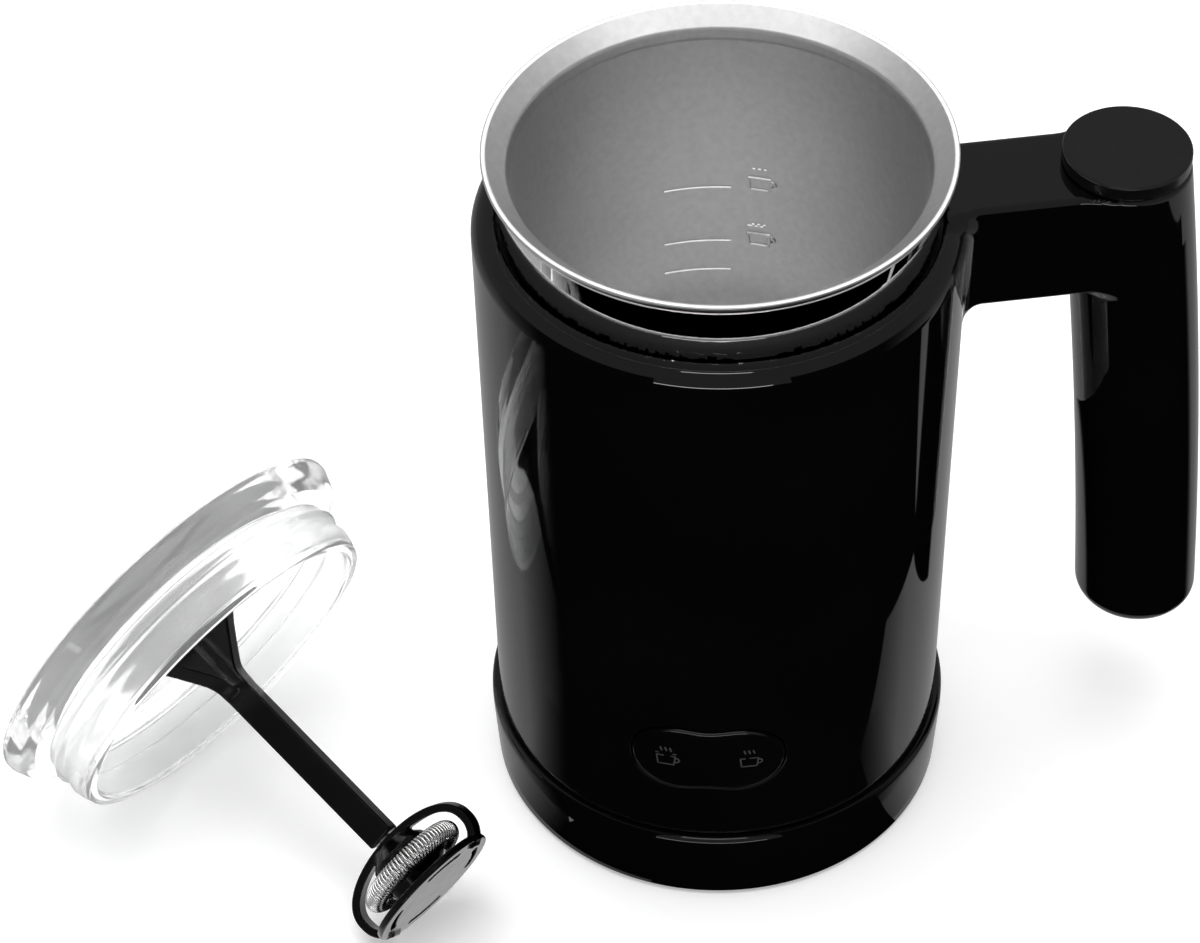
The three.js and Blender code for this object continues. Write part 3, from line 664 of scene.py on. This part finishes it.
plate = layered(
    [(0, 51.6), (0, 53.5), (-0.1, 53.72), (-0.3, 53.94), (-0.6, 54.1), (-1.0, 54.18), (-1.3, 54.2)],
    (0.85, 0.7, 0.55, 0.4, 0.25, 0.12),
)
lug = bored_block((-3, -52.4, 40.2), (3, -46, 55.8), (0, -47.5), 1.25)
ribs = [bored_block((x - 1.2, -51.2, 45), (x + 1.2, -45.4, 51), (x, -48)) for x in (-12, 12)]
points, faces = gathered([plate, lug, *ribs])
mesh_piece("start_rocker", points, faces, gloss_black, "button", ("start_button",), sharp=38)


PRINT_LOW_R, PRINT_TOP_R = 54.15, 54.23


def print_strip(path, width):
    """A thin printed line on the button's face along a path of (x, z) points."""
    points, faces = [], []
    along = [np.array(p, float) for p in path]
    for i, here in enumerate(along):
        ahead = along[min(i + 1, len(along) - 1)] - along[max(i - 1, 0)]
        side = np.array([-ahead[1], ahead[0]]) / np.linalg.norm(ahead) * width / 2
        for spread, radius in ((1, PRINT_LOW_R), (1, PRINT_TOP_R), (-1, PRINT_TOP_R), (-1, PRINT_LOW_R)):
            x, z = here + spread * side
            points.append(on_cylinder(x, z, radius))
    for i in range(len(along) - 1):
        for k in range(4):
            n = (k + 1) % 4
            faces.append([4 * i + k, 4 * i + n, 4 * i + 4 + n, 4 * i + 4 + k])
    last = 4 * (len(along) - 1)
    faces += [[3, 2, 1, 0], [last, last + 1, last + 2, last + 3]]
    return points, faces


icon_lines = []
for x, size in ((-9.8, 2.2), (9.6, 2.1)):
    for line in cup_lines(size) + steam_lines(size, True):
        icon_lines.append([(x + across, BUTTON_Z + 0.8 + up) for across, up in line])
icon_lines.append([(-12.3, BUTTON_Z + 1.6), (-7.3, BUTTON_Z + 1.6)])
points, faces = gathered([print_strip(line, 0.35) for line in icon_lines])
mesh_piece("button_icons", points, faces, icon_grey, "button")

# ---------------------------------------------------------------- lid
spin = joints["whisk_spin"]
axis = Vector(spin["axis"]).normalized()
level = Vector((axis.y, -axis.x, 0)).normalized()
below = axis.cross(level)
loop_side = level * math.cos(LOOP_ROLL) + below * math.sin(LOOP_ROLL)
loop_face = axis.cross(loop_side)
lid_turn = Matrix((loop_side, loop_face, axis)).transposed().to_4x4()
lid_place = Matrix.Translation(Vector(spin["pos_m"]) / MM) @ lid_turn

lathe_piece(
    "clear_lid",
    [
        [0, 0], [49.6, 0, 2], [51.8, 0.9, 1], [51.8, 2.5, 1.2], [50.3, 6.2, 1.5], [47.4, 7.6, 1],
        [42.3, 8.4, 0.8], [42.3, 20.6, 0.3], [43.6, 21.0, 0.3], [43.4, 22.2, 0.8], [40.9, 22.2, 0.7],
        [40.4, 20.5, 0.8], [40.4, 4.6, 2], [37.5, 2.9, 1.5], [0, 2.9],
    ],
    clear_plastic, "lid", ("lid_shell",), 160, lid_place,
)
lathe_piece(
    "lid_seal_sleeve",
    [
        [42.6, 8.8], [44.2, 8.8, 0.4], [43.9, 11.2, 1.5], [45.6, 12.4, 0.5], [43.9, 13.6, 1.5], [44.1, 15, 2],
        [44.8, 17, 3], [44.0, 20.4, 0.5], [42.6, 20.4],
    ],
    silicone, "lid", ("lid_seal",), 160, lid_place,
)

# ---------------------------------------------------------------- whisk holder and shaft
fin_outline = rounded([
    [0, 3.2], [21.8, 3.2], [21.6, 3.9], [20.2, 5.4, 3], [15.6, 9.4, 20], [11, 14, 20], [7, 19, 20],
    [3.2, 24, 12], [2.8, 27], [0, 27],
], steps=10)


def shaft_distance(x, y, z):
    radius = np.hypot(x, y)
    foot = cut_round(radius - 22, np.abs(z - 3.7) - 0.6, 0.4)
    bar = block_distance(x, y, z, (-3.5, -2.5, 3.5), (3.5, 2.5, 77.6), 0.5)
    whole = bar
    for turn in (180, 60, -60):
        cos, sin = math.cos(turn * DEG), math.sin(turn * DEG)
        out, side = x * cos + y * sin, -x * sin + y * cos
        fin = cut_round(outline_distance(fin_outline, out, z), np.abs(side) - 2.3, 0.5)
        whole = join_round(whole, np.maximum(fin, -out - 0.5), 1.4)
    whole = join_round(whole, foot, 1.2)
    bore = np.maximum(radius - 1.6, 69 - z)
    return np.maximum(whole, -bore)


points, quads = field_mesh(shaft_distance, (-23.5, -23.5, 2.2), (23.5, 23.5, 79), 0.45)
shaft = mesh_piece(
    "whisk_holder_and_shaft", placed(points, lid_place), quads[:, ::-1], whisk_black, "lid",
    ("whisk_shaft",),
)
field_normals(shaft, shaft_distance, lid_place.inverted(), 0.7, 0.35)

# ---------------------------------------------------------------- whisk
hub_outline = rounded([
    [0, 79.4], [4.6, 79.4, 0.5], [7.6, 82.4, 1], [8.6, 84.4, 0.8], [8.6, 89.6, 0.8], [6, 91, 0.5],
    [6, 94], [0, 94],
])
disc_outline = rounded([[0, 92.8], [16.9, 92.8, 0.6], [DISC_R, DISC_S, 0.5], [0, DISC_S]])


def loop_centre(angle):
    bulge = math.copysign(abs(math.sin(angle)) ** 0.85, math.sin(angle))
    return (18.5 * math.cos(angle), 88.4 - 9.4 * bulge)


loop_path = [loop_centre((-36 + 252 * i / 72) * DEG) for i in range(73)]


def path_distance(path, u, v):
    nearest = np.full(u.shape, 1e9, np.float32)
    for (u0, v0), (u1, v1) in zip(path, path[1:]):
        du, dv = u1 - u0, v1 - v0
        along = np.clip(((u - u0) * du + (v - v0) * dv) / (du * du + dv * dv), 0, 1)
        nearest = np.minimum(nearest, np.hypot(u - u0 - along * du, v - v0 - along * dv))
    return nearest


def whisk_distance(x, y, z):
    radius = np.hypot(x, y)
    hub = outline_distance(hub_outline, radius, z)
    disc = outline_distance(disc_outline, radius, z)
    loop = cut_round(path_distance(loop_path, x, z) - 1.0, np.abs(y) - 2.2, 0.45)
    whole = join_round(join_round(hub, loop, 0.8), disc, 0.6)
    for side in (-1, 1):
        boss = np.hypot(x, y - side * 10.5)
        whole = np.minimum(whole, np.maximum(boss - 4.2, np.abs(z - 91.8) - 1.4))
        whole = np.maximum(whole, -np.maximum(boss - 3.3, np.abs(z - 91.7) - 1.7))
    angle = np.arctan2(y, x)
    for middle in (45, 135, 225, 315):
        away = np.abs(np.angle(np.exp(1j * (angle - middle * DEG)))) - 24 * DEG
        slot = cut_round(np.abs(radius - 13.2) - 0.85, away * 13.2, 0.8)
        whole = np.maximum(whole, -np.maximum(slot, 92.2 - z))
    bore = np.maximum(radius - 1.6, z - 89)
    return np.maximum(whole, -bore)


points, quads = field_mesh(whisk_distance, (-20.2, -18.2, 78.2), (20.2, 18.2, 95.6), 0.3)
whisk = mesh_piece(
    "whisk_loop_and_disc", placed(points, lid_place), quads[:, ::-1], whisk_black, "whisk",
    ("whisk_frame",),
)
field_normals(whisk, whisk_distance, lid_place.inverted(), 0.7, 0.2)

# The steel spring: a wire wound round a ring.
WIRE_R = 0.28
turns, per_turn, sides = 84, 18, 8
count = turns * per_turn
centre_line = []
for i in range(count):
    big = i * 2 * math.pi / count
    small = big * turns
    reach = COIL_R + (COIL_TUBE_R - WIRE_R) * math.cos(small)
    height = COIL_S + (COIL_TUBE_R - WIRE_R) * math.sin(small)
    centre_line.append((reach * math.cos(big), reach * math.sin(big), height))
centre_line = np.array(centre_line)
points, faces = [], []
for i in range(count):
    big = i * 2 * math.pi / count
    tangent = centre_line[(i + 1) % count] - centre_line[i - 1]
    tangent /= np.linalg.norm(tangent)
    outward = centre_line[i] - np.array([COIL_R * math.cos(big), COIL_R * math.sin(big), COIL_S])
    outward -= tangent * (outward @ tangent)
    outward /= np.linalg.norm(outward)
    across = np.cross(tangent, outward)
    for k in range(sides):
        angle = k * 2 * math.pi / sides
        points.append(centre_line[i] + WIRE_R * (outward * math.cos(angle) + across * math.sin(angle)))
for i in range(count):
    j = (i + 1) % count
    for k in range(sides):
        n = (k + 1) % sides
        faces.append([i * sides + k, j * sides + k, j * sides + n, i * sides + n])
mesh_piece("whisk_spring", placed(points, lid_place), faces, wire_steel, "whisk", ("whisk_coil",))

# ---------------------------------------------------------------- finishes of the inner parts
NODE_SLOTS = {
    "satin_black": (
        "base_bottom_cover", "jug_bottom_cover", "button_carrier", "tact_switch_1", "tact_switch_2",
    ),
    "steel": (
        "base_screw_1", "base_screw_2", "base_screw_3", "jug_screw_1", "jug_screw_2", "jug_screw_3",
        "handle_screw_1", "handle_screw_2", "button_pin", "heater_ring", "motor_can", "motor_shaft",
        "whisk_pin",
    ),
    "contact_brass": ("contact_ring", "contact_pin", "thermal_fuse"),
    "silicone": ("pot_gasket",),
    "grey_plastic": ("base_connector", "jug_coupler", "thermostat", "motor_bracket", "magnet_carrier"),
    "board_green": ("circuit_board",),
    "magnet_grey": ("drive_magnet_1", "drive_magnet_2", "whisk_magnet_1", "whisk_magnet_2"),
}
for slot_name, names in NODE_SLOTS.items():
    for name in names:
        node = frame["nodes"][name]
        node.data.materials.clear()
        node.data.materials.append(FINISHES[slot_name])
        node.data.shade_smooth()
        node.data.set_sharp_from_angle(angle=40 * DEG)


# ---------------------------------------------------------------- studio
def stage_mesh(name, points, faces, material):
    mesh = bpy.data.meshes.new(name)
    mesh.from_pydata((np.asarray(points, float) * MM).tolist(), [], faces)
    item = bpy.data.objects.new(name, mesh)
    bpy.context.scene.collection.objects.link(item)
    mesh.materials.append(material)
    return item


def first_bounce(tree):
    """A 0 or 1 output: 1 for what is seen in a direct reflection, 0 for light that bounced further."""
    path = tree.nodes.new("ShaderNodeLightPath")
    test = tree.nodes.new("ShaderNodeMath")
    test.operation = "LESS_THAN"
    test.inputs[1].default_value = 1.5
    tree.links.new(path.outputs["Ray Depth"], test.inputs[0])
    return test.outputs[0]


def studio_card(name, points, faces, brightness, opacity=None):
    """A plain studio card seen only in direct reflections. opacity, one value per point, fades its edges."""
    material = bpy.data.materials.new(name)
    material.use_nodes = True
    tree = material.node_tree
    tree.nodes.clear()
    output = tree.nodes.new("ShaderNodeOutputMaterial")
    mix = tree.nodes.new("ShaderNodeMixShader")
    clear = tree.nodes.new("ShaderNodeBsdfTransparent")
    glow = tree.nodes.new("ShaderNodeEmission")
    fade = tree.nodes.new("ShaderNodeAttribute")
    product = tree.nodes.new("ShaderNodeMath")
    fade.attribute_name = "opacity"
    product.operation = "MULTIPLY"
    glow.inputs["Color"].default_value = (1, 1, 1, 1)
    glow.inputs["Strength"].default_value = brightness
    tree.links.new(first_bounce(tree), product.inputs[0])
    tree.links.new(fade.outputs["Fac"], product.inputs[1])
    tree.links.new(product.outputs[0], mix.inputs[0])
    tree.links.new(clear.outputs[0], mix.inputs[1])
    tree.links.new(glow.outputs[0], mix.inputs[2])
    tree.links.new(mix.outputs[0], output.inputs["Surface"])
    item = stage_mesh(name, points, faces, material)
    item.data.attributes.new("opacity", "FLOAT", "POINT")
    item.data.attributes["opacity"].data.foreach_set("value", opacity or [1.0] * len(points))
    item.visible_camera = False
    item.visible_diffuse = False
    item.visible_transmission = False
    item.visible_shadow = False
    return item


def upright_card(name, radius, low, high, stops, brightness, middle=(0, 0)):
    """A curved card round an upright axis. Each stop is (degrees from the front towards +X, opacity)."""
    points, faces, opacity = [], [], []
    angles = np.linspace(stops[0][0], stops[-1][0], 49)
    for angle in angles:
        for z in (low, high):
            x, y = radius * math.sin(angle * DEG), -radius * math.cos(angle * DEG)
            points.append((middle[0] + x, middle[1] + y, z))
            opacity.append(float(np.interp(angle, *zip(*stops))))
    for i in range(len(angles) - 1):
        faces.append([2 * i, 2 * i + 2, 2 * i + 3, 2 * i + 1])
    return studio_card(name, points, faces, brightness, opacity)


def flat_card(name, corners, height, brightness):
    """A card lying level over the floor, from its corners as (x, y)."""
    return studio_card(name, [(x, y, height) for x, y in corners], [list(range(len(corners)))], brightness)


floor_material = make_material(
    "floor_white", grey(0.85), 0.9, 0.0,
    Emission_Color=(1, 1, 1, 1), Emission_Strength=0.34, Specular_IOR_Level=0.0,
)
vary(floor_material, "Base Color", object_noise(floor_material, 4), grey(0.84), grey(0.86))
FLOOR = 6000
floor_corners = [(-FLOOR, -FLOOR), (FLOOR, -FLOOR), (FLOOR, FLOOR), (-FLOOR, FLOOR)]
stage_mesh("floor", [(x, y, 0) for x, y in floor_corners], [[0, 1, 2, 3]], floor_material)
flat_card("card_floor", floor_corners, 0.1, 0.4)
flat_card(
    "flag_floor",
    [(0, 0), (-16, -60), (-125, -240), (330, -240), (330, 60), (125, 15), (111, -26), (67, -44)],
    0.4, 0.0,
)
flat_card("flag_far", [(-125, -240), (-1300, -3000), (1600, -3000), (330, -240)], 0.4, 0.0)
flat_card("card_whisk", [(-90, -95), (-42, -95), (-42, -44), (-90, -44)], 0.6, 1.0)
upright_card("flag_left", 62, 0.5, 172, ((-66, 0), (-47, 1), (-14, 1)), 0.0)
upright_card("flag_right", 62, 0.5, 172, ((20, 1), (46, 1), (66, 0)), 0.0)
upright_card("flag_grip", 19, 26, 143, ((-77, 0), (-70, 1), (72, 1), (84, 0)), 0.0, (101.5, 20.6))
base_flag, base_fade = [], []
flag_angles = range(-72, 73, 4)
for angle in flag_angles:
    for radius in (55.6, 88):
        base_flag.append((radius * math.sin(angle * DEG), -radius * math.cos(angle * DEG), 0.5))
        base_fade.append(float(np.interp(abs(angle), (46, 72), (1, 0))))
flag_faces = [[2 * i, 2 * i + 1, 2 * i + 3, 2 * i + 2] for i in range(len(flag_angles) - 1)]
studio_card("flag_base", base_flag, flag_faces, 0.0, base_fade)

bpy.context.scene.view_settings.view_transform = "Standard"
world = bpy.data.worlds.new("studio")
world.use_nodes = True
tree = world.node_tree
background = next(n for n in tree.nodes if n.type == "BACKGROUND")
directions = tree.nodes.new("ShaderNodeTexCoord")
split = tree.nodes.new("ShaderNodeSeparateXYZ")
# In direct reflections the sky is dark at the front and light at the back
sky = tree.nodes.new("ShaderNodeMapRange")
sky.inputs["From Min"].default_value = 0.1
sky.inputs["From Max"].default_value = 0.5
sky.inputs["To Min"].default_value = 0.001
sky.inputs["To Max"].default_value = 0.23
choice = tree.nodes.new("ShaderNodeMix")
# For other light it is even, and lighter where the light came through clear plastic
through_lid = tree.nodes.new("ShaderNodeLightPath")
ambient = tree.nodes.new("ShaderNodeMapRange")
ambient.inputs["To Min"].default_value = 0.3
ambient.inputs["To Max"].default_value = 0.75
tree.links.new(through_lid.outputs["Transmission Depth"], ambient.inputs["Value"])
tree.links.new(ambient.outputs["Result"], choice.inputs["A"])
background.inputs["Color"].default_value = (1, 1, 1, 1)
tree.links.new(directions.outputs["Generated"], split.inputs[0])
tree.links.new(split.outputs["Y"], sky.inputs["Value"])
tree.links.new(first_bounce(tree), choice.inputs["Factor"])
tree.links.new(sky.outputs["Result"], choice.inputs["B"])
tree.links.new(choice.outputs["Result"], background.inputs["Strength"])
bpy.context.scene.world = world


def softbox(name, place, aim, width, height, power, glossy=True, only=(), through=False):
    """An area light. only names the pieces it lights; through lets nothing else block it."""
    light = bpy.data.lights.new(name, "AREA")
    light.shape = "RECTANGLE"
    light.size, light.size_y = width, height
    light.energy = power
    item = bpy.data.objects.new(name, light)
    item.location = place
    item.rotation_euler = (Vector(aim) - Vector(place)).to_track_quat("-Z", "Y").to_euler()
    item.visible_glossy = glossy
    item.visible_camera = False
    bpy.context.scene.collection.objects.link(item)
    if only:
        receivers = bpy.data.collections.new(name + "_receivers")
        for piece_name in only:
            receivers.objects.link(bpy.data.objects[piece_name])
        item.light_linking.receiver_collection = receivers
        if through:
            item.light_linking.blocker_collection = bpy.data.collections.new(name + "_blockers")
    return item


softbox("overhead", (0, 0.2, 2.2), (0, 0, 0), 2.5, 2.5, 60, glossy=False)
softbox("pot_light", (0, 0.3, 1.5), (0, 0, 0.1), 2.4, 2.4, 40, only=("milk_pot",))
softbox("lip_light", (0, 0.75, -0.3), (0, 0, 0.18), 1.6, 0.8, 16, only=("milk_pot",), through=True)
softbox("spring_light", (-0.1, 0.1, 1.2), (-0.08, -0.06, 0), 1.8, 1.8, 20, only=("whisk_spring",))
softbox("button_light", (0, -0.25, 1.0), (0, -0.05, 0.05), 0.7, 0.4, 3.5, only=("start_rocker",))
softbox("low_window", (0, -1.1, 0.15), (0, 0, 0.1), 0.95, 0.06, 1.9)
softbox("high_window", (0, -0.2, 1.2), (0, 0, 0.1), 0.3, 0.05, 0.5)

# ---------------------------------------------------------------- camera
camera = bpy.data.objects.new("camera", bpy.data.cameras.new("camera"))
bpy.context.scene.collection.objects.link(camera)
bpy.context.scene.camera = camera
camera.data.sensor_width = 36
camera.data.lens = 116.25
right = Vector((0.99801359, 0.06062037, -0.01714788))
up = Vector((-0.03039177, 0.70170457, 0.71181953))
forward = Vector((-0.05518351, 0.70988441, -0.70215305))
turn = Matrix((right, up, -forward)).transposed()
camera.matrix_world = Matrix.Translation((0.0225625, -0.6461062, 0.7271)) @ turn.to_4x4()
